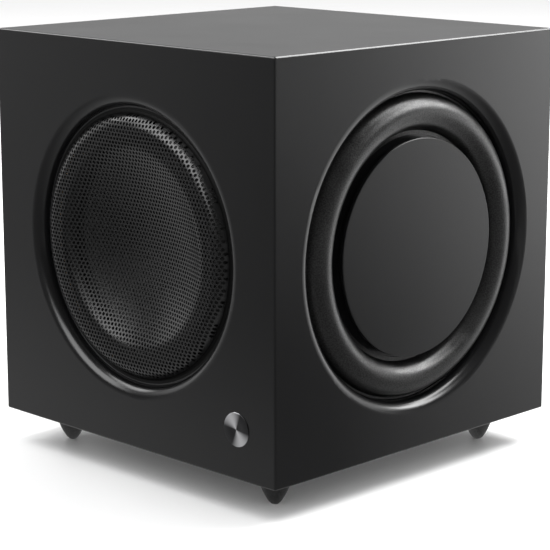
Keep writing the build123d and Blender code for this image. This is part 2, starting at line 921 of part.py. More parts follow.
with BuildPart() as radiator_screws:
    for face in (right_face, left_face):
        socket_screws(
            face,
            radiator_frame_back,
            -1,
            screw_ring(radiator_screw_circle, radiator_screw_count),
            radiator_screw_radius,
            radiator_frame_thickness + gasket_thickness + radiator_screw_bite,
            radiator_head_radius,
        )
save(radiator_screws, "radiator_screws")

# ======== amplifier ========

board_front = plate_thickness + board_gap
board_back = board_front + board_thickness
socket_places = GridLocations(socket_spacing, socket_spacing, 2, 2)


def on_rear(u, v, depth=0):
    """A plane on the back of the cabinet, u to the right and v up as seen from behind."""
    return Plane(
        origin=rear_face.from_local_coords(Vector(u, v, -depth)),
        x_dir=rear_face.x_dir,
        z_dir=rear_face.z_dir,
    )


sockets_plane = on_rear(socket_u, knob_v)

with BuildPart() as amplifier_plate:
    with BuildSketch(rear_face):
        RectangleRounded(plate_width, plate_height, plate_corner)
    extrude(amount=-plate_thickness)
    with BuildSketch(rear_face):
        with Locations(*amp_screw_places):
            Circle(amp_screw_radius + screw_gap)
        with Locations((level_u, knob_v), (crossover_u, knob_v)):
            Circle(bushing_radius + running_gap)
        with Locations((button_u, knob_v)):
            Circle(button_radius + button_collar_wall + 2 * running_gap)
        with Locations((lens_u, knob_v)):
            Circle(lens_radius + running_gap)
        with Locations((inlet_u, inlet_v)):
            Rectangle(inlet_width + 2 * loose_gap, inlet_height + 2 * loose_gap)
        with Locations((switch_u, inlet_v)):
            Rectangle(switch_body_width + 2 * loose_gap, switch_body_height + 2 * loose_gap)
    extrude(amount=-plate_thickness, mode=Mode.SUBTRACT)
    with BuildSketch(sockets_plane):
        with socket_places:
            Circle(socket_body_radius + running_gap)
    extrude(amount=-plate_thickness, mode=Mode.SUBTRACT)
save(amplifier_plate, "amplifier_plate")

with BuildPart() as amplifier_gasket:
    with BuildSketch(at_depth(rear_face, plate_thickness)):
        RectangleRounded(plate_width, plate_height, plate_corner)
        Rectangle(
            plate_width - 2 * plate_margin,
            plate_height - 2 * plate_margin,
            mode=Mode.SUBTRACT,
        )
        with Locations(*amp_screw_places):
            Circle(amp_screw_radius + screw_gap, mode=Mode.SUBTRACT)
    extrude(amount=-amp_gasket)
save(amplifier_gasket, "amplifier_gasket")

with BuildPart() as amplifier_screws:
    socket_screws(
        rear_face,
        0,
        1,
        Locations(*amp_screw_places),
        amp_screw_radius,
        rebate_depth + amp_screw_bite,
        amp_head_radius,
    )
save(amplifier_screws, "amplifier_screws")

fin_pitch = (sink_width - fin_thickness) / (fin_count - 1)
with BuildPart() as heat_sink:
    with BuildSketch(on_rear(0, sink_middle_v)):
        Rectangle(sink_width, sink_height)
    extrude(amount=sink_base)
    with BuildSketch(on_rear(0, sink_middle_v, -sink_base)):
        with GridLocations(fin_pitch, 1, fin_count, 1):
            Rectangle(fin_thickness, sink_height)
    extrude(amount=rear_reach - sink_base)
save(heat_sink, "heat_sink")

standoff_places = [
    (u * (board_width / 2 - standoff_inset), board_middle_v + v)
    for u in (-1, 1)
    for v in (standoff_inset - board_height / 2, board_height / 2 - standoff_drop)
]
with BuildPart() as amplifier_board:
    with BuildSketch(at_depth(rear_face, board_front)):
        with Locations((0, board_middle_v)):
            Rectangle(board_width, board_height)
        with Locations(*standoff_places):
            Circle(standoff_stud_radius + running_gap, mode=Mode.SUBTRACT)
    extrude(amount=-board_thickness)
save(amplifier_board, "amplifier_board")

with BuildPart() as board_standoffs:
    with BuildSketch(at_depth(rear_face, plate_thickness)):
        with Locations(*standoff_places):
            RegularPolygon(standoff_radius, 6)
    extrude(amount=-board_gap)
    with BuildSketch(at_depth(rear_face, board_front)):
        with Locations(*standoff_places):
            Circle(standoff_stud_radius)
    extrude(amount=-board_thickness - standoff_stud_proud)
save(board_standoffs, "board_standoffs")

with BuildPart() as transformer:
    with BuildSketch(on_rear(transformer_u, supply_v, board_back)):
        Circle(transformer_radius)
        Circle(transformer_bore_radius, mode=Mode.SUBTRACT)
    extrude(amount=-transformer_height)
    rims = transformer.edges().filter_by(GeomType.CIRCLE)
    fillet(rims.filter_by(lambda e: e.radius == transformer_radius), transformer_round)
save(transformer, "transformer")

with BuildPart() as capacitors:
    with BuildSketch(on_rear(capacitor_u, supply_v, board_back)):
        with GridLocations(0, 2 * capacitor_radius + capacitor_gap, 1, 2):
            Circle(capacitor_radius)
    extrude(amount=-capacitor_height)
save(capacitors, "capacitors")

# The controls on the board: two potentiometers, and a push switch with a collar round its stem.
with BuildPart() as board_controls:
    for u in (level_u, crossover_u):
        with BuildSketch(on_rear(u, knob_v, plate_thickness)):
            Rectangle(pot_size, pot_size)
        extrude(amount=-board_gap)
        with BuildSketch(on_rear(u, knob_v, plate_thickness)):
            Circle(bushing_radius)
        extrude(amount=plate_thickness + knob_lift / 2)
        with BuildSketch(on_rear(u, knob_v, -knob_lift / 2)):
            Circle(stem_radius + running_gap)
        extrude(amount=-stem_length - 1, mode=Mode.SUBTRACT)
    with BuildSketch(on_rear(button_u, knob_v, plate_thickness)):
        Rectangle(pot_size, pot_size)
    extrude(amount=-board_gap)
    with BuildSketch(on_rear(button_u, knob_v, plate_thickness)):
        Circle(button_radius + button_collar_wall)
    extrude(amount=plate_thickness + button_collar_proud)
    with BuildSketch(on_rear(button_u, knob_v, -1)):
        Circle(button_radius + running_gap)
    extrude(amount=2 - board_front, mode=Mode.SUBTRACT)
save(board_controls, "board_controls")


def knob(u, name):
    """A grooved knob with a pointer slot. Its stem runs in a potentiometer's bushing."""
    with BuildPart() as turned:
        with BuildSketch(on_rear(u, knob_v, -knob_lift)):
            Circle(knob_radius)
            with screw_ring(knob_radius + knob_groove_radius / 2, knob_groove_count):
                Circle(knob_groove_radius, mode=Mode.SUBTRACT)
        extrude(amount=rear_reach - knob_lift)
        with BuildSketch(on_rear(u, knob_v, -rear_reach)):
            with Locations((0, knob_radius * 0.6)):
                Rectangle(pointer_width, knob_radius * 0.7)
        extrude(amount=-pointer_depth, mode=Mode.SUBTRACT)
        with BuildSketch(on_rear(u, knob_v, -knob_lift)):
            Circle(stem_radius)
        extrude(amount=-stem_length)
    save(turned, name)


knob(level_u, "level_knob")
knob(crossover_u, "crossover_knob")

with BuildPart() as pair_button:
    with BuildSketch(on_rear(button_u, knob_v, -button_proud)):
        Circle(button_radius)
    extrude(amount=-button_proud - plate_thickness - button_tail)
    fillet(pair_button.faces().sort_by(Axis.Y)[-1].edges(), button_radius / 6)
save(pair_button, "pair_button")

with BuildPart() as status_lens:
    with BuildSketch(on_rear(lens_u, knob_v, -lens_proud)):
        Circle(lens_radius)
    extrude(amount=-board_front - lens_proud)
save(status_lens, "status_lens")

with BuildPart() as line_sockets:
    with BuildSketch(sockets_plane):
        with socket_places:
            Circle(socket_flange_radius)
    extrude(amount=socket_flange_thickness)
    with BuildSketch(sockets_plane):
        with socket_places:
            Circle(socket_radius)
    extrude(amount=socket_length)
    with BuildSketch(sockets_plane):
        with socket_places:
            Circle(socket_body_radius)
    extrude(amount=-board_front)
    with BuildSketch(sockets_plane.offset(socket_length)):
        with socket_places:
            Circle(socket_radius - socket_wall)
    extrude(amount=-socket_length, mode=Mode.SUBTRACT)
    with BuildSketch(sockets_plane.offset(running_gap)):
        with socket_places:
            Circle(socket_radius - socket_wall - running_gap)
            Circle(socket_bore_radius, mode=Mode.SUBTRACT)
    extrude(amount=socket_length - socket_wall)
save(line_sockets, "line_sockets")

# The mains inlet has a deep recess with two cut corners and three blades.
inlet_plane = on_rear(inlet_u, inlet_v)
with BuildPart() as mains_inlet:
    with BuildSketch(inlet_plane):
        RectangleRounded(
            inlet_width + 2 * inlet_bezel_border,
            inlet_height + 2 * inlet_bezel_border,
            inlet_bezel,
        )
    extrude(amount=inlet_bezel)
    with BuildSketch(inlet_plane):
        Rectangle(inlet_width, inlet_height)
    extrude(amount=-inlet_depth)
    with BuildSketch(inlet_plane.offset(inlet_bezel)):
        recess = Rectangle(inlet_width - 2 * inlet_wall, inlet_height - 2 * inlet_wall)
        chamfer(recess.vertices().group_by(Axis.Y)[-1], inlet_corner_cut)
    extrude(amount=inlet_floor - inlet_depth - inlet_bezel, mode=Mode.SUBTRACT)
save(mains_inlet, "mains_inlet")

with BuildPart() as inlet_blades:
    with BuildSketch(inlet_plane.offset(inlet_floor - inlet_depth)):
        with Locations((-blade_spacing, -2.5), (blade_spacing, -2.5), (0, 1.5)):
            Rectangle(blade_width, blade_height)
    extrude(amount=inlet_depth - inlet_floor - blade_set_back)
save(inlet_blades, "inlet_blades")

# The power switch: a rocker on a pin in an open housing.
pivot_plane = on_rear(switch_u, inlet_v, -rocker_pivot_out)
cavity_half = hypot(rocker_half, rocker_crown) + rocker_gap
with BuildPart() as switch_housing:
    with BuildSketch(on_rear(switch_u, inlet_v)):
        Rectangle(
            switch_body_width + 2 * switch_bezel_border,
            switch_body_height + 2 * switch_bezel_border,
        )
    extrude(amount=switch_bezel)
    with BuildSketch(on_rear(switch_u, inlet_v)):
        Rectangle(switch_body_width, switch_body_height)
    extrude(amount=-switch_depth)
    with BuildSketch(on_rear(switch_u, inlet_v, -switch_bezel)):
        Rectangle(rocker_length + 2 * rocker_gap, 2 * cavity_half)
    extrude(amount=-switch_bezel - cavity_depth, mode=Mode.SUBTRACT)
    with BuildSketch(Plane(origin=pivot_plane.origin, x_dir=(0, 1, 0), z_dir=(1, 0, 0))):
        Circle(pivot_radius + running_gap)
    extrude(amount=rocker_length / 2 + pivot_length + screw_gap, both=True, mode=Mode.SUBTRACT)
save(switch_housing, "switch_housing")

tilt = radians(rocker_angle)
rocker_plane = Plane(origin=pivot_plane.origin, x_dir=(0, cos(tilt), -sin(tilt)), z_dir=(1, 0, 0))
with BuildPart() as power_rocker:
    with BuildSketch(rocker_plane):
        closed_outline(
            (pivot_radius, -rocker_half),
            (rocker_crown, -rocker_half),
            (rocker_crown - rocker_dip, 0),
            (rocker_crown, rocker_half),
            (pivot_radius, rocker_half),
            (-2 * pivot_radius, 3 * pivot_radius),
            (-2 * pivot_radius, -3 * pivot_radius),
        )
    extrude(amount=rocker_length / 2, both=True)
    with BuildSketch(rocker_plane):
        Circle(pivot_radius)
    extrude(amount=rocker_length / 2 + pivot_length, both=True)
save(power_rocker, "power_rocker")

# ======== speaker lead ========

# It leaves the terminal block, hangs clear of the magnet and rises to the amplifier's board.
lead_radius = 2
lead_start_y = terminal_middle_y + terminal_length / 2
lead_end_y = back_y - board_back
lead_z = terminal_middle_z
lead_points = [
    Vector(0, lead_start_y, lead_z),
    Vector(0, lead_start_y + 26, lead_z),
    Vector(6, lead_start_y + 58, lead_z - 13),
    Vector(11, lead_start_y + 96, lead_z - 24),
    Vector(11, lead_start_y + 134, lead_z - 18),
    Vector(7, lead_end_y - 52, lead_z + 8),
    Vector(4, lead_end_y - 26, lead_z + 28),
    Vector(4, lead_end_y, lead_z + 28),
]


def bend_at(before, corner, after):
    """The start, middle and end of the largest smooth arc that rounds one corner of a route."""
    arriving = (corner - before).normalized()
    leaving = (after - corner).normalized()
    half_turn = radians(arriving.get_angle(leaving)) / 2
    setback = 0.45 * min((corner - before).length, (after - corner).length)
    radius = setback / tan(half_turn)
    inside = (leaving - arriving).normalized()
    centre = corner + inside * (radius / cos(half_turn))
    print("speaker lead bend radius", round(radius, 1))
    return corner - arriving * setback, centre - inside * radius, corner + leaving * setback


with BuildPart() as speaker_lead:
    with BuildLine() as route:
        reached = lead_points[0]
        for before, corner, after in zip(lead_points, lead_points[1:], lead_points[2:]):
            start, middle, end = bend_at(before, corner, after)
            Line(reached, start)
            ThreePointArc(start, middle, end)
            reached = end
        Line(reached, lead_points[-1])
    with BuildSketch(Plane(origin=lead_points[0], x_dir=(1, 0, 0), z_dir=(0, 1, 0))):
        Circle(lead_radius)
    sweep(path=route.line)
save(speaker_lead, "speaker_lead")
lead_length = sum(run.length for run in route.edges())
print("speaker lead length", round(lead_length), "section times length over volume:")
print(round(pi * lead_radius**2 * lead_length / speaker_lead.part.volume, 4))
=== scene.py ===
"""Looks of the compact powered subwoofer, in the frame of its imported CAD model, in metres.

Most CAD nodes keep their shapes and get better materials. The grille is modelled again with its grid
of holes, and the surrounds, the spider, the badge and the feet with finer shapes. The back gets scale
marks round its knobs and coloured rings round its line sockets.
"""

import math

import bmesh
import bpy
import numpy as np
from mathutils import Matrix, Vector


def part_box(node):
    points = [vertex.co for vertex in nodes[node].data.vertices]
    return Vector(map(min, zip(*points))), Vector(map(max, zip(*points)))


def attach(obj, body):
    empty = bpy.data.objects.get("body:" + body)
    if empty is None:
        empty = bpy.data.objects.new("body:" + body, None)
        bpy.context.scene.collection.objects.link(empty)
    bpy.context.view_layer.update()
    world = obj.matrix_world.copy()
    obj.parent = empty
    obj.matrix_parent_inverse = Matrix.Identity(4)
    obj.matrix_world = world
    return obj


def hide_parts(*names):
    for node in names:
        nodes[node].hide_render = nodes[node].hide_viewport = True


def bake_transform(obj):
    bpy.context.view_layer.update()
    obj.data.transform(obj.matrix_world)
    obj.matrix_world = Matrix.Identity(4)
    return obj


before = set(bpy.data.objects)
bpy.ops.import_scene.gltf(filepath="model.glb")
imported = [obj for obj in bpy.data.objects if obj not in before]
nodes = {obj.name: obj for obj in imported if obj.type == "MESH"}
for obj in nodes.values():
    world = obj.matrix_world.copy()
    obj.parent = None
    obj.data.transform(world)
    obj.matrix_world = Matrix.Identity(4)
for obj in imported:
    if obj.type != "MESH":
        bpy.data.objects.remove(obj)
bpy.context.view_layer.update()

MM = 0.001


# ---------------------------------------------------------------- places read from the frame


def middle(name):
    low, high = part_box(name)
    return (low + high) / 2


def reach(name, axis):
    """Half of a node's size along one axis, which is the radius of a round node."""
    low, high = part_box(name)
    return (high[axis] - low[axis]) / 2


AXIS_Z = middle("grille").z
FRONT_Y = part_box("front_panel")[0].y
RIGHT_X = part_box("right_panel")[1].x
PLATE_BACK_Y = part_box("amplifier_plate")[1].y
SIDE_Y = middle("right_radiator_plate").y


class Facing:
    """A face of the cabinet with a round opening: its centre, and the way into the cabinet."""

    def __init__(self, centre, inward, across):
        self.centre = Vector(centre)
        self.inward = Vector(inward)
        self.across = Vector(across)
        self.up = Vector((0, 0, 1))

    def at(self, radius, depth, angle):
        """A point on a circle about the face's axis, this deep behind the face."""
        outward = self.across * math.cos(angle) + self.up * math.sin(angle)
        return self.centre + outward * radius + self.inward * depth

    def spot(self, across, up, depth):
        return self.centre + self.across * across + self.up * up + self.inward * depth


FRONT = Facing((0, FRONT_Y, AXIS_Z), (0, 1, 0), (1, 0, 0))
RIGHT = Facing((RIGHT_X, SIDE_Y, AXIS_Z), (-1, 0, 0), (0, 1, 0))
LEFT = Facing((-RIGHT_X, SIDE_Y, AXIS_Z), (1, 0, 0), (0, -1, 0))


# ---------------------------------------------------------------- camera


def make_camera():
    """Stands on the diagonal of the cube, before its near edge, and looks a little down."""
    distance = 1.6369
    height = 0.4948
    down = 0.2126
    data = bpy.data.cameras.new("camera")
    data.sensor_width = 36
    data.lens = 131.34
    data.clip_start = 0.05
    data.clip_end = 60
    camera = bpy.data.objects.new("camera", data)
    step = distance / math.sqrt(2)
    camera.location = (step, SIDE_Y - step, height)
    camera.rotation_euler = (math.pi / 2 - down, 0, math.pi / 4)
    bpy.context.scene.collection.objects.link(camera)
    bpy.context.scene.camera = camera


# ---------------------------------------------------------------- material helpers


class Paint:
    """A material with a Principled shader, and short ways to add nodes to it."""

    def __init__(self, name, color, roughness, **sockets):
        self.material = bpy.data.materials.new(name)
        self.material.use_nodes = True
        self.tree = self.material.node_tree
        self.shader = self.tree.nodes["Principled BSDF"]
        self.shader.inputs["Base Color"].default_value = (*color, 1)
        self.shader.inputs["Roughness"].default_value = roughness
        for socket, value in sockets.items():
            self.shader.inputs[socket.replace("_", " ")].default_value = value
        self.place = self.tree.nodes.new("ShaderNodeTexCoord").outputs["Object"]

    def node(self, kind, **settings):
        made = self.tree.nodes.new("ShaderNode" + kind)
        for key, value in settings.items():
            setattr(made, key, value)
        return made

    def link(self, out, into):
        self.tree.links.new(out, into)
        return into

    def noise(self, size, detail=3.0, roughness=0.55, stretch=(1, 1, 1)):
        """Noise whose spots are about this large, in metres."""
        place = self.place
        if stretch != (1, 1, 1):
            mapping = self.node("Mapping")
            mapping.inputs["Scale"].default_value = stretch
            self.link(place, mapping.inputs["Vector"])
            place = mapping.outputs["Vector"]
        made = self.node("TexNoise")
        made.inputs["Scale"].default_value = 1 / size
        made.inputs["Detail"].default_value = detail
        made.inputs["Roughness"].default_value = roughness
        self.link(place, made.inputs["Vector"])
        return made.outputs["Fac"]

    def ramp(self, value, low, high, to_low, to_high):
        """A value moved from one range to another, and held between its ends."""
        made = self.node("MapRange", clamp=True)
        made.inputs["From Min"].default_value = low
        made.inputs["From Max"].default_value = high
        made.inputs["To Min"].default_value = to_low
        made.inputs["To Max"].default_value = to_high
        self.link(value, made.inputs["Value"])
        return made.outputs["Result"]

    def rough(self, value, low, high, to_low, to_high):
        self.link(self.ramp(value, low, high, to_low, to_high), self.shader.inputs["Roughness"])
        return self

    def tint(self, value, low_color, high_color, low=0.3, high=0.7):
        """Mixes two colours over the surface by a value."""
        made = self.node("Mix", data_type="RGBA")
        made.inputs["A"].default_value = (*low_color, 1)
        made.inputs["B"].default_value = (*high_color, 1)
        self.link(self.ramp(value, low, high, 0, 1), made.inputs["Factor"])
        self.link(made.outputs["Result"], self.shader.inputs["Base Color"])
        return self

    def bump(self, value, distance, strength=1.0):
        """A relief this deep, in metres, on top of any relief that is there."""
        made = self.node("Bump")
        made.inputs["Distance"].default_value = distance
        made.inputs["Strength"].default_value = strength
        into = self.shader.inputs["Normal"]
        if into.is_linked:
            self.link(into.links[0].from_socket, made.inputs["Normal"])
        self.link(value, made.inputs["Height"])
        self.link(made.outputs["Normal"], into)
        return self


def satin_paint(name, color, roughness, sheen=0.45):
    """Sprayed satin paint: faint orange peel, fine speckle and slow changes in gloss."""
    paint = Paint(name, color, roughness, Specular_IOR_Level=sheen)
    paint.rough(paint.noise(0.09, 3), 0.3, 0.7, roughness - 0.01, roughness + 0.012)
    paint.bump(paint.noise(0.0022, 2), 0.00001, 0.4)
    paint.bump(paint.noise(0.0005, 2), 0.000008, 0.6)
    return paint.material


def moulded(name, color, roughness, grain=0.0006, depth=0.00003):
    """Moulded plastic with a fine spark-eroded grain."""
    paint = Paint(name, color, roughness)
    paint.rough(paint.noise(0.02, 3), 0.3, 0.7, roughness - 0.05, roughness + 0.06)
    paint.bump(paint.noise(grain, 3), depth, 0.7)
    return paint.material


def rubber(name, color, roughness):
    """Rubber with a dusty bloom: fine grain and paler patches."""
    paint = Paint(name, color, roughness)
    paint.tint(paint.noise(0.03, 5), color, [c * 1.5 + 0.001 for c in color])
    paint.rough(paint.noise(0.015, 4), 0.3, 0.7, roughness - 0.04, roughness + 0.08)
    paint.bump(paint.noise(0.0009, 3), 0.00005, 0.6)
    grain = paint.noise(0.0011, 2)
    paint.link(paint.ramp(grain, 0.35, 0.65, 0.3, 0.75), paint.shader.inputs["Specular IOR Level"])
    paint.bump(grain, 0.00014, 0.8)
    return paint.material


def metal(name, color, roughness, stretch=(1, 1, 1)):
    """Bare or plated metal with fine tool marks."""
    paint = Paint(name, color, roughness, Metallic=1.0)
    paint.rough(paint.noise(0.002, 4, stretch=stretch), 0.3, 0.7, roughness - 0.06, roughness + 0.1)
    paint.bump(paint.noise(0.0004, 2, stretch=stretch), 0.00001, 0.5)
    return paint.material


def wear(obj, material):
    """Gives an object one material in place of those it has."""
    obj.data.materials.clear()
    obj.data.materials.append(material)


# ---------------------------------------------------------------- mesh helpers


def new_object(name, points, faces, material, smooth=True, sharp_deg=35):
    mesh = bpy.data.meshes.new(name)
    mesh.from_pydata([tuple(p) for p in points], [], faces)
    mesh.update()
    if smooth:
        mesh.shade_smooth()
        mesh.set_sharp_from_angle(angle=math.radians(sharp_deg))
    obj = bpy.data.objects.new(name, mesh)
    bpy.context.scene.collection.objects.link(obj)
    mesh.materials.append(material)
    return obj


def turned(name, face, profile, material, steps=192, closed=True, sharp_deg=35):
    """A profile of (radius, depth) turned about a face's axis. A closed one is a solid ring."""
    points = []
    faces = []
    count = len(profile)
    for step in range(steps):
        angle = 2 * math.pi * step / steps
        points += [face.at(radius, depth, angle) for radius, depth in profile]
    for step in range(steps):
        here = step * count
        there = (step + 1) % steps * count
        for i in range(count if closed else count - 1):
            j = (i + 1) % count
            if profile[i][0] == 0 and profile[j][0] == 0:
                continue
            if profile[i][0] == 0:
                faces.append((here + i, here + j, there + j))
            elif profile[j][0] == 0:
                faces.append((here + i, here + j, there + i))
            else:
                faces.append((here + i, here + j, there + j, there + i))
    obj = new_object(name, points, faces, material, sharp_deg=sharp_deg)
    clean(obj, sharp_deg)
    return obj


def clean(obj, sharp_deg=35):
    """Joins points that lie together and turns all faces outwards."""
    mesh = bmesh.new()
    mesh.from_mesh(obj.data)
    bmesh.ops.remove_doubles(mesh, verts=mesh.verts, dist=1e-7)
    bmesh.ops.recalc_face_normals(mesh, faces=mesh.faces)
    mesh.to_mesh(obj.data)
    mesh.free()
    obj.data.shade_smooth()
    obj.data.set_sharp_from_angle(angle=math.radians(sharp_deg))


def arc(centre, radius, start_deg, end_deg, steps):
    """Points on an arc in (radius, depth), at 0 degrees towards larger radius, 90 towards depth."""
    return [
        (
            centre[0] + radius * math.cos(math.radians(start_deg + (end_deg - start_deg) * i / steps)),
            centre[1] + radius * math.sin(math.radians(start_deg + (end_deg - start_deg) * i / steps)),
        )
        for i in range(steps + 1)
    ]


def bend_radially(obj, face):
    """Bakes a ring's placement into its points. Nothing ties the ring to the cabinet or to a moving
    body.
    """
    face.spot(0, 0, 0)
    face.spot(0, 0, 0.1)
    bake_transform(obj)


# ---------------------------------------------------------------- materials

BLACK = (0.0035, 0.0035, 0.0038)

cabinet_paint = satin_paint("cabinet_paint", BLACK, 0.24)
grille_paint = satin_paint("grille_paint", (0.0035, 0.0035, 0.0038), 0.3, 0.6)
hem_paint = satin_paint("hem_paint", (0.002, 0.002, 0.002), 0.6, 0.15)
radiator_paint = satin_paint("radiator_paint", (0.0035, 0.0035, 0.0038), 0.25)
roll_rubber = rubber("roll_rubber", (0.004, 0.004, 0.004), 0.33)
foot_rubber = rubber("foot_rubber", (0.003, 0.003, 0.003), 0.55)
seal_foam = rubber("seal_foam", (0.02, 0.02, 0.02), 0.8)
black_plastic = moulded("black_plastic", (0.014, 0.014, 0.015), 0.42)
gloss_plastic = moulded("gloss_plastic", (0.012, 0.012, 0.012), 0.18, depth=0.00001)
plate_paint = satin_paint("plate_paint", (0.014, 0.014, 0.015), 0.42)
sink_metal = metal("sink_metal", (0.035, 0.035, 0.038), 0.45, stretch=(1, 1, 0.05))
basket_paint = satin_paint("basket_paint", (0.02, 0.02, 0.021), 0.45)
zinc_steel = metal("zinc_steel", (0.55, 0.55, 0.56), 0.32)
black_screw = metal("black_screw", (0.05, 0.05, 0.052), 0.35)
gold_plate = metal("gold_plate", (0.83, 0.62, 0.27), 0.22)
lens_clear = moulded("lens_clear", (0.55, 0.62, 0.66), 0.12, depth=0.000005)
board_mask = moulded("board_mask", (0.01, 0.10, 0.04), 0.3)
tape_winding = moulded("tape_winding", (0.65, 0.48, 0.10), 0.35)
can_sleeve = moulded("can_sleeve", (0.03, 0.035, 0.08), 0.25)
fibre_wadding = moulded("fibre_wadding", (0.6, 0.6, 0.57), 0.95, grain=0.002, depth=0.001)
raw_board = moulded("raw_board", (0.42, 0.30, 0.19), 0.85, grain=0.0015, depth=0.0001)
cone_paper = moulded("cone_paper", (0.03, 0.03, 0.031), 0.5, grain=0.0015, depth=0.00008)
spider_cloth = moulded("spider_cloth", (0.50, 0.33, 0.12), 0.8, grain=0.0008, depth=0.0001)
ferrite = moulded("ferrite", (0.05, 0.05, 0.055), 0.6, grain=0.0006, depth=0.00005)
copper_wire = metal("copper_wire", (0.72, 0.36, 0.18), 0.3)
former_foil = metal("former_foil", (0.75, 0.75, 0.76), 0.25)
cable_jacket = moulded("cable_jacket", (0.18, 0.012, 0.012), 0.45)
white_print = moulded("white_print", (0.62, 0.62, 0.62), 0.6, depth=0.000005)

ring_white = moulded("ring_white", (0.6, 0.6, 0.58), 0.4)
ring_red = moulded("ring_red", (0.45, 0.02, 0.02), 0.4)

NODE_MATERIALS = {
    cabinet_paint: "top_panel bottom_panel left_panel right_panel front_panel rear_panel",
    raw_board: "inner_baffle corner_blocks",
    fibre_wadding: "damping_pads",
    grille_paint: "grille",
    black_plastic: "grille_ring woofer_terminals left_radiator_frame right_radiator_frame board_controls"
    " level_knob crossover_knob pair_button mains_inlet switch_housing",
    foot_rubber: "left_front_foot left_rear_foot right_front_foot right_rear_foot",
    zinc_steel: "inlet_blades foot_studs top_plate yoke board_standoffs left_radiator_weight"
    " right_radiator_weight left_radiator_bolt right_radiator_bolt",
    basket_paint: "woofer_basket",
    seal_foam: "driver_gaskets amplifier_gasket",
    black_screw: "woofer_screws radiator_screws amplifier_screws",
    ferrite: "magnet",
    cone_paper: "cone dust_cap",
    former_foil: "voice_coil_former",
    copper_wire: "voice_coil",
    roll_rubber: "woofer_surround left_radiator_surround right_radiator_surround",
    spider_cloth: "spider",
    radiator_paint: "left_radiator_plate right_radiator_plate",
    plate_paint: "amplifier_plate",
    sink_metal: "heat_sink",
    board_mask: "amplifier_board",
    tape_winding: "transformer",
    can_sleeve: "capacitors",
    lens_clear: "status_lens",
    gold_plate: "line_sockets",
    gloss_plastic: "power_rocker",
    cable_jacket: "speaker_lead",
}


def dress_nodes():
    """Gives each CAD node its material."""
    for material, names in NODE_MATERIALS.items():
        for name in names.split():
            wear(nodes[name], material)


# ---------------------------------------------------------------- grille

GRILLE_EDGE_RADIUS = reach("grille", 0)
GRILLE_SHEET = 1.0 * MM
GRILLE_CENTRE_DEPTH = 17.5 * MM
GRILLE_CREST_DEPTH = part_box("grille")[0].y - FRONT_Y
GRILLE_CREST_RADIUS = 84.5 * MM
GRILLE_CREST_BEND = 20 * MM
GRILLE_CREST_FLAT = 8.0 * MM
GRILLE_SHOULDER_BEND = 13.5 * MM
GRILLE_SKIRT_DEPTH = 12.5 * MM
RING_LIP = 1.5 * MM
HEM_LAP = 0.5 * MM
HEM_PROUD = 0.08 * MM
HEM_THICKNESS = 1.3 * MM
HOLE_PITCH = 3.6 * MM
HOLE_RADIUS = 1.25 * MM
WALL_RADIUS = GRILLE_CREST_RADIUS + GRILLE_CREST_FLAT + GRILLE_SHOULDER_BEND
HEM_RADIUS = WALL_RADIUS - 1.2 * MM


def grille_profile():
    """Returns a function for the depth of the sheet's front at a radius, with its slope."""
    rise = GRILLE_CENTRE_DEPTH - GRILLE_CREST_DEPTH
    sweep = (GRILLE_CREST_RADIUS**2 + rise**2) / (2 * rise)
    bowl = sweep - GRILLE_CREST_BEND
    bowl_edge = GRILLE_CREST_RADIUS * bowl / sweep
    shoulder_start = GRILLE_CREST_RADIUS + GRILLE_CREST_FLAT
    def front(radius):
        if radius < bowl_edge:
            drop = math.sqrt(bowl**2 - radius**2)
            return GRILLE_CENTRE_DEPTH - bowl + drop, -radius / drop
        if radius < GRILLE_CREST_RADIUS:
            across = GRILLE_CREST_RADIUS - radius
            drop = math.sqrt(GRILLE_CREST_BEND**2 - across**2)
            return GRILLE_CREST_DEPTH + GRILLE_CREST_BEND - drop, -across / drop
        if radius < shoulder_start:
            return GRILLE_CREST_DEPTH, 0.0
        across = radius - shoulder_start
        drop = math.sqrt(GRILLE_SHOULDER_BEND**2 - across**2)
        return GRILLE_CREST_DEPTH + GRILLE_SHOULDER_BEND - drop, across / drop

    return front


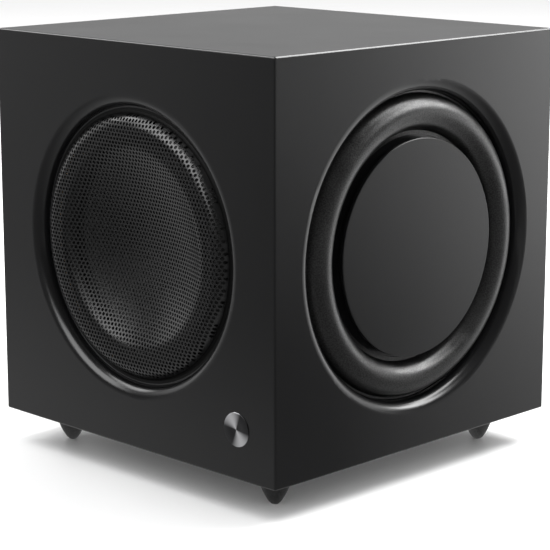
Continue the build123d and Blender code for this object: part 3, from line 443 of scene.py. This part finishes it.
def perforated_sheet():
    """The grille's sheet, built from hexagonal cells that each have one round hole."""
    front = grille_profile()
    corner_reach = HOLE_PITCH / math.sqrt(3)
    row_pitch = HOLE_PITCH * math.sqrt(3) / 2
    points = []
    faces = []
    known = {}

    def point(x, z, back):
        """The index of a point of the sheet over (x, z), on its front or its back."""
        radius = math.hypot(x, z)
        if radius > HEM_RADIUS:
            x, z, radius = x * HEM_RADIUS / radius, z * HEM_RADIUS / radius, HEM_RADIUS
        key = (round(x * 1e7), round(z * 1e7), back)
        if key not in known:
            depth, slope = front(radius)
            if back:
                tilt = math.hypot(1, slope)
                inset = GRILLE_SHEET * slope / tilt / max(radius, 1e-6)
                x, z = x * (1 - inset), z * (1 - inset)
                depth += GRILLE_SHEET / tilt
            known[key] = len(points)
            points.append(FRONT.spot(x, z, depth))
        return known[key]

    def add(face):
        whole = list(dict.fromkeys(face))
        if len(whole) > 2:
            faces.append(whole)

    rows = int(HEM_RADIUS / row_pitch) + 2
    columns = int(HEM_RADIUS / HOLE_PITCH) + 2
    for row in range(-rows, rows + 1):
        for column in range(-columns, columns + 1):
            x = (column + 0.5 * (row % 2)) * HOLE_PITCH
            z = row * row_pitch
            corners = [
                (
                    x + corner_reach * math.sin(math.pi / 3 * k),
                    z + corner_reach * math.cos(math.pi / 3 * k),
                )
                for k in range(6)
            ]
            if min(math.hypot(*corner) for corner in corners) > HEM_RADIUS:
                continue
            if math.hypot(x, z) > HEM_RADIUS - HOLE_RADIUS - 0.4 * MM:
                add([point(*corner, False) for corner in corners])
                add([point(*corner, True) for corner in reversed(corners)])
                continue
            rim = [
                (
                    x + HOLE_RADIUS * math.sin(math.pi / 6 * k),
                    z + HOLE_RADIUS * math.cos(math.pi / 6 * k),
                )
                for k in range(12)
            ]
            for k in range(6):
                sector = [
                    corners[k],
                    corners[(k + 1) % 6],
                    rim[(2 * k + 2) % 12],
                    rim[2 * k + 1],
                    rim[2 * k],
                ]
                add([point(*p, False) for p in sector])
                add([point(*p, True) for p in reversed(sector)])
            for k in range(12):
                here, there = rim[k], rim[(k + 1) % 12]
                add([point(*here, False), point(*there, False), point(*there, True), point(*here, True)])
    return new_object("grille_sheet", points, faces, grille_paint, sharp_deg=50)


def grille_hem():
    """The plain wall round the perforated dome and its flange, which sits in the opening."""
    front = grille_profile()
    inner = HEM_RADIUS - HEM_LAP
    flange_back = GRILLE_SKIRT_DEPTH - RING_LIP - 0.1 * MM
    flange = flange_back - GRILLE_SHEET
    profile = [(inner, front(inner)[0] - HEM_PROUD)]
    profile += [(HEM_RADIUS, front(HEM_RADIUS)[0] - HEM_PROUD)]
    profile += [(WALL_RADIUS + 0.2 * MM, front(HEM_RADIUS)[0] + 0.8 * MM)]
    profile += [(WALL_RADIUS + 0.2 * MM, flange), (GRILLE_EDGE_RADIUS, flange)]
    profile += [
        (GRILLE_EDGE_RADIUS, GRILLE_SKIRT_DEPTH),
        (GRILLE_EDGE_RADIUS - GRILLE_SHEET, GRILLE_SKIRT_DEPTH),
        (GRILLE_EDGE_RADIUS - GRILLE_SHEET, flange_back),
        (inner, flange_back),
        (inner, front(inner)[0] + HEM_THICKNESS),
    ]
    return turned("grille_hem", FRONT, profile, hem_paint)


# ---------------------------------------------------------------- surrounds and spider


BASKET_MOUTH_RADIUS = 93.3 * MM


def roll_profile(middle_radius, radius, back, thickness, inner_lip, outer_lip, steps=28):
    """A half-roll with a flat lip on each side, its root on each side eased by a small fillet."""
    front = back - thickness
    ease = 0.9 * MM
    root = math.degrees(math.asin((thickness + ease) / (radius + ease)))
    foot = (radius + ease) * math.cos(math.radians(root))
    outside = [(inner_lip, back), (inner_lip, front)]
    outside += arc((middle_radius - foot, front - ease), ease, 90, root, 5)
    outside += arc((middle_radius, back), radius, 180 + root, 360 - root, steps)
    outside += arc((middle_radius + foot, front - ease), ease, 180 - root, 90, 5)
    outside += [(outer_lip, front), (outer_lip, back)]
    return outside + arc((middle_radius, back), radius - thickness, 360, 180, steps)


def surround(node, face, body, middle_radius, radius, back, thickness, held, still_from):
    """A rubber roll turned about a face's axis in place of its CAD node, which it hides.

    Its body, held and still_from arguments are not used.
    """
    half = reach(node, 2)
    inner_lip = middle_radius - (half - middle_radius) * 1.1
    profile = roll_profile(middle_radius, radius, back, thickness, inner_lip, half)
    ring = turned(node + "_roll", face, profile, roll_rubber, steps=256, sharp_deg=40)
    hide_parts(node)
    bend_radially(ring, face)
    return ring


def make_surrounds():
    woofer = ("woofer_surround", FRONT, "woofer_motion", 89.5 * MM, 8.5 * MM, 20 * MM, 1.0 * MM)
    surround(*woofer, held="cone", still_from=BASKET_MOUTH_RADIUS - 0.2 * MM)
    for side, face in (("right", RIGHT), ("left", LEFT)):
        name = f"{side}_radiator"
        roll = (f"{name}_surround", face, name, 105.3 * MM, 14.1 * MM, 14.5 * MM, 1.2 * MM)
        surround(*roll, held=f"{name}_plate", still_from=118.9 * MM)


def make_spider():
    """The woven suspension: round waves between two flat collars."""
    inner, outer = 19.3 * MM, reach("spider", 2)
    wave_start, wave_end = inner + 2 * MM, outer - 6 * MM
    depth, height, thickness, waves = 66.6 * MM, 1.6 * MM, 0.8 * MM, 6
    line = []
    for step in range(waves * 12 + 1):
        share = step / (waves * 12)
        radius = wave_start + (wave_end - wave_start) * share
        line.append((radius, depth - height * math.sin(2 * math.pi * waves * share)))
    line = [(inner, depth)] + line + [(outer, depth)]
    profile = [(r, d - thickness / 2) for r, d in line]
    profile += [(r, d + thickness / 2) for r, d in reversed(line)]
    cloth = turned("spider_cloth", FRONT, profile, spider_cloth, steps=160, sharp_deg=60)
    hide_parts("spider")
    bend_radially(cloth, FRONT)


# ---------------------------------------------------------------- badge

FAN_TURN_DEG = 122


def spun_metal(centre):
    """Metal faced off on a lathe: fine rings, with two opposite fans of light drawn in its colour."""
    paint = Paint("spun_metal", (0.3, 0.3, 0.31), 0.3, Metallic=1.0)
    from_centre = paint.node("VectorMath", operation="SUBTRACT")
    from_centre.inputs[1].default_value = centre
    paint.link(paint.place, from_centre.inputs[0])
    parts = paint.node("SeparateXYZ")
    paint.link(from_centre.outputs["Vector"], parts.inputs["Vector"])
    turn = paint.node("Math", operation="ARCTAN2")
    paint.link(parts.outputs["Z"], turn.inputs[0])
    paint.link(parts.outputs["X"], turn.inputs[1])
    twice = paint.node("Math", operation="MULTIPLY_ADD")
    twice.inputs[1].default_value = 2
    twice.inputs[2].default_value = -2 * math.radians(FAN_TURN_DEG)
    paint.link(turn.outputs["Value"], twice.inputs[0])
    fans = paint.node("Math", operation="COSINE")
    paint.link(twice.outputs["Value"], fans.inputs[0])
    paint.tint(fans.outputs["Value"], (0.05, 0.05, 0.052), (0.8, 0.8, 0.82), -0.3, 1.0)
    length = paint.node("VectorMath", operation="LENGTH")
    paint.link(from_centre.outputs["Vector"], length.inputs[0])
    rings = paint.node("TexNoise", noise_dimensions="1D")
    rings.inputs["Scale"].default_value = 1 / (0.25 * MM)
    paint.link(length.outputs["Value"], rings.inputs["W"])
    paint.bump(rings.outputs["Fac"], 0.00003, 0.6)
    return paint.material


def make_badge():
    """A plain spun disc with a rounded rim and a shallow dished ring. It carries no mark."""
    centre = middle("badge")
    proud = FRONT_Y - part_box("badge")[0].y
    radius = reach("badge", 0)
    place = Facing((centre.x, FRONT_Y, centre.z), (0, 1, 0), (1, 0, 0))
    rim = 0.35 * MM
    profile = [(0, 0.12 * MM - proud), (0.42 * radius, 0.12 * MM - proud)]
    profile += [(0.46 * radius, -proud), (radius - rim, -proud)]
    profile += arc((radius - rim, rim - proud), rim, -70, 0, 4)
    profile += [(radius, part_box("badge")[1].y - FRONT_Y), (0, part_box("badge")[1].y - FRONT_Y)]
    disc = turned("badge_disc", place, profile, spun_metal(centre), steps=128, sharp_deg=25)
    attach(disc, "cabinet")
    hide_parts("badge")


# ---------------------------------------------------------------- feet


FOOT_TIP_FLAT = 3 * MM
FOOT_BOW = 1.6 * MM
FOOT_STEPS = 12


def make_foot(name):
    """A rubber cone with slightly bowed sides and a rounded tip with a small flat."""
    low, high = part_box(name)
    axis = middle(name)
    top = reach(name, 0)
    tip = FOOT_TIP_FLAT
    height = high.z - low.z
    upright = Facing((axis.x, axis.y, low.z), (0, 0, 1), (1, 0, 0))
    upright.up = Vector((0, 1, 0))
    profile = [(0, 0), (tip, 0)]
    for step in range(1, FOOT_STEPS + 1):
        share = step / FOOT_STEPS
        bow = FOOT_BOW * math.sin(math.pi * share) ** 0.7
        profile.append((tip + (top - tip) * share + bow * (1 - share), height * share**1.15))
    profile.append((0, height))
    foot = turned(name + "_cone", upright, profile, foot_rubber, steps=96)
    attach(foot, "cabinet")
    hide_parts(name)


# ---------------------------------------------------------------- marks on the back


def loose_parts(name):
    """The boxes of a node's separate solids, as (low, high) corners in the scene."""
    obj = nodes[name]
    mesh = bmesh.new()
    mesh.from_mesh(obj.data)
    mesh.transform(obj.matrix_world)
    bmesh.ops.remove_doubles(mesh, verts=mesh.verts, dist=1e-6)
    boxes = []
    left = set(mesh.verts)
    while left:
        group = set()
        edge = [left.pop()]
        while edge:
            vertex = edge.pop()
            group.add(vertex)
            for other in (e.other_vert(vertex) for e in vertex.link_edges):
                if other in left:
                    left.remove(other)
                    edge.append(other)
        axes = [[v.co[axis] for v in group] for axis in range(3)]
        boxes.append((Vector([min(a) for a in axes]), Vector([max(a) for a in axes])))
    mesh.free()
    return sorted(boxes, key=lambda box: tuple(round(c, 5) for c in box[0]))


def back_face_at(box):
    """A face on the amplifier's plate with its axis through the middle of a box."""
    centre = (box[0] + box[1]) / 2
    return Facing((centre.x, PLATE_BACK_Y, centre.z), (0, -1, 0), (-1, 0, 0))


def scale_marks(name, knob, marks=11):
    """Short printed strokes round a knob over its travel, the end ones longer."""
    face = back_face_at(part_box(knob))
    inner = reach(knob, 2) + 1.8 * MM
    thick = 0.06 * MM
    points = []
    faces = []
    for mark in range(marks):
        angle = math.radians(240 - 300 * mark / (marks - 1))
        outer = inner + (3.0 if mark in (0, marks // 2, marks - 1) else 1.8) * MM
        half = 0.25 * MM
        start = len(points)
        for depth in (0.02 * MM, -thick):
            for radius, side in ((inner, -half), (outer, -half), (outer, half), (inner, half)):
                across = radius * math.cos(angle) - side * math.sin(angle)
                up = radius * math.sin(angle) + side * math.cos(angle)
                points.append(face.spot(across, up, depth))
        faces += [[start + i for i in (3, 2, 1, 0)], [start + i for i in (4, 5, 6, 7)]]
        for i in range(4):
            j = (i + 1) % 4
            faces.append([start + i, start + j, start + 4 + j, start + 4 + i])
    obj = new_object(name, points, faces, white_print, smooth=False)
    clean(obj)
    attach(obj, "cabinet")


def socket_ring(name, box, material):
    """A thin coloured ring of plastic round one line socket."""
    inner = (box[1].x - box[0].x) / 2 + 0.3 * MM
    outer = inner + 1.6 * MM
    proud = -0.35 * MM
    profile = [(inner, 0.02 * MM), (inner, proud), (outer - 0.2 * MM, proud)]
    profile += [(outer, proud + 0.2 * MM), (outer, 0.02 * MM)]
    ring = turned(name, back_face_at(box), profile, material, steps=64)
    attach(ring, "cabinet")


def make_back_marks():
    scale_marks("level_marks", "level_knob")
    scale_marks("crossover_marks", "crossover_knob")
    collars = {}
    for box in loose_parts("line_sockets"):
        centre = (box[0] + box[1]) / 2
        place = (round(centre.x, 4), round(centre.z, 4))
        if place not in collars or box[1].x - box[0].x > collars[place][1].x - collars[place][0].x:
            collars[place] = box
    columns = sorted({x for x, z in collars})
    for number, place in enumerate(sorted(collars)):
        material = ring_red if place[0] == columns[0] else ring_white
        socket_ring(f"socket_ring_{number + 1}", collars[place], material)


# ---------------------------------------------------------------- studio


def make_studio():
    """A white floor and sky, darker in mirrored rays. In mirrored rays the floor instead glows with
    painted pools of light, which the paint mirrors as painted reflections. There are also large soft
    lights that the paint mirrors.
    """
    scene = bpy.context.scene
    scene.view_settings.view_transform = "Standard"

    world = bpy.data.worlds.new("studio")
    world.use_nodes = True
    tree = world.node_tree
    room = tree.nodes["Background"]
    room.inputs["Strength"].default_value = 1.3
    mirrored = tree.nodes.new("ShaderNodeBackground")
    mirrored.inputs["Strength"].default_value = 0.1
    for background in (room, mirrored):
        background.inputs["Color"].default_value = (1, 1, 1, 1)
    path = tree.nodes.new("ShaderNodeLightPath")
    mix = tree.nodes.new("ShaderNodeMixShader")
    tree.links.new(path.outputs["Is Glossy Ray"], mix.inputs[0])
    tree.links.new(room.outputs["Background"], mix.inputs[1])
    tree.links.new(mirrored.outputs["Background"], mix.inputs[2])
    tree.links.new(mix.outputs["Shader"], tree.nodes["World Output"].inputs["Surface"])
    scene.world = world

    paper = Paint("floor_paper", (0.9, 0.9, 0.9), 0.35, Specular_IOR_Level=0.3)
    painted_reflection_glow = paper.node("Emission")

    def both(operation, first, second):
        """Two values added or multiplied."""
        made = paper.node("Math", operation=operation)
        paper.link(first, made.inputs[0])
        paper.link(second, made.inputs[1])
        return made.outputs[0]

    def along(x_share, y_share):
        """How far a spot of the floor lies in a direction, as a sum of shares of X and Y."""
        made = paper.node("VectorMath", operation="DOT_PRODUCT")
        made.inputs[1].default_value = (x_share, y_share, 0)
        paper.link(paper.place, made.inputs[0])
        return made.outputs["Value"]

    # Painted light: the floor's glow in mirrored rays is made of pools of emission set by position on
    # the floor, and the cabinet's paint mirrors them as painted reflections.
    right_pool = both(
        "MULTIPLY",
        paper.ramp(along(-1.15, 1), -0.29, 0.3, 0, 2.8),
        paper.ramp(along(1, 0), 0.2, 0.7, 0.5, 1),
    )
    right_far = both("ADD", right_pool, paper.ramp(along(1, 0), 0.5, 2.5, 0, 0.55))
    right_near = paper.ramp(along(1, 0), 0.2, 0.6, 0.12, 0)
    right_far = both("ADD", right_far, right_near)
    left_pool = both(
        "ADD",
        paper.ramp(along(-1, 1), -0.35, 0.05, 0.08, 0.34),
        paper.ramp(along(0, 1), -0.6, -0.25, 0, 0.25),
    )
    right_side = both("MULTIPLY", right_far, paper.ramp(along(1, 1), -0.05, 0.1, 0, 1))
    left_side = both("MULTIPLY", left_pool, paper.ramp(along(1, 1), -0.05, 0.1, 1, 0))
    base = both("ADD", right_side, left_side)
    # Painted reflection: the floor glows with this strength only in mirrored rays.
    paper.link(paper.ramp(base, 0, 5, 0.1, 5.1), painted_reflection_glow.inputs["Strength"])
    choice = paper.node("MixShader")
    paper.link(paper.node("LightPath").outputs["Is Glossy Ray"], choice.inputs[0])
    paper.link(paper.shader.outputs["BSDF"], choice.inputs[1])
    paper.link(painted_reflection_glow.outputs["Emission"], choice.inputs[2])
    paper.link(choice.outputs["Shader"], paper.tree.nodes["Material Output"].inputs["Surface"])
    size = 14
    corners = [(-size, -size, 0), (size, -size, 0), (size, size, 0), (-size, size, 0)]
    floor = new_object("floor", corners, [(0, 1, 2, 3)], paper.material, smooth=False)

    def softbox(name, place, aim, width, height, brightness, lights_floor=False):
        """A rectangular light, its brightness against white paper's, which is 1.

        One that doesn't light the floor lights nothing else either: it is only seen in mirrored rays.
        """
        data = bpy.data.lights.new(name, "AREA")
        data.shape = "RECTANGLE"
        data.size = width
        data.size_y = height
        data.energy = brightness * math.pi * width * height
        lamp = bpy.data.objects.new(name, data)
        lamp.location = place
        lamp.rotation_euler = (Vector(aim) - Vector(place)).to_track_quat("-Z", "Y").to_euler()
        lamp.visible_diffuse = lights_floor
        scene.collection.objects.link(lamp)

    softbox("overhead", (0.2, 1.7, 2.5), (0, 0.2, 0.2), 2.4, 1.8, 12, True)
    softbox("right_over", (1.5, 2.0, 1.5), (0, 0, 0.2), 1.3, 0.8, 15)
    softbox("right_back", (1.2, 2.6, 0.85), (0, 0, 0.3), 1.1, 1.6, 2)
    softbox("front_over", (-0.9, -2.5, 1.75), (0, 0, 0.2), 2.6, 1.8, 5.5)
    softbox("left_over", (-2.0, -0.5, 2.1), (0, 0, 0.1), 1.6, 1.6, 6, True)
    softbox("left_front", (-2.6, -0.9, 0.6), (0, 0, 0.25), 1.2, 1.1, 1.2)
    softbox("back_left", (-2.2, 2.2, 0.8), (0, 0, 0.3), 3.0, 1.6, 0.41)


dress_nodes()
sheet = perforated_sheet()
hem = grille_hem()
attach(sheet, "cabinet")
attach(hem, "cabinet")
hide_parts("grille")
make_surrounds()
make_spider()
make_badge()
for corner in ("left_front", "left_rear", "right_front", "right_rear"):
    make_foot(corner + "_foot")
make_back_marks()
make_camera()
make_studio()
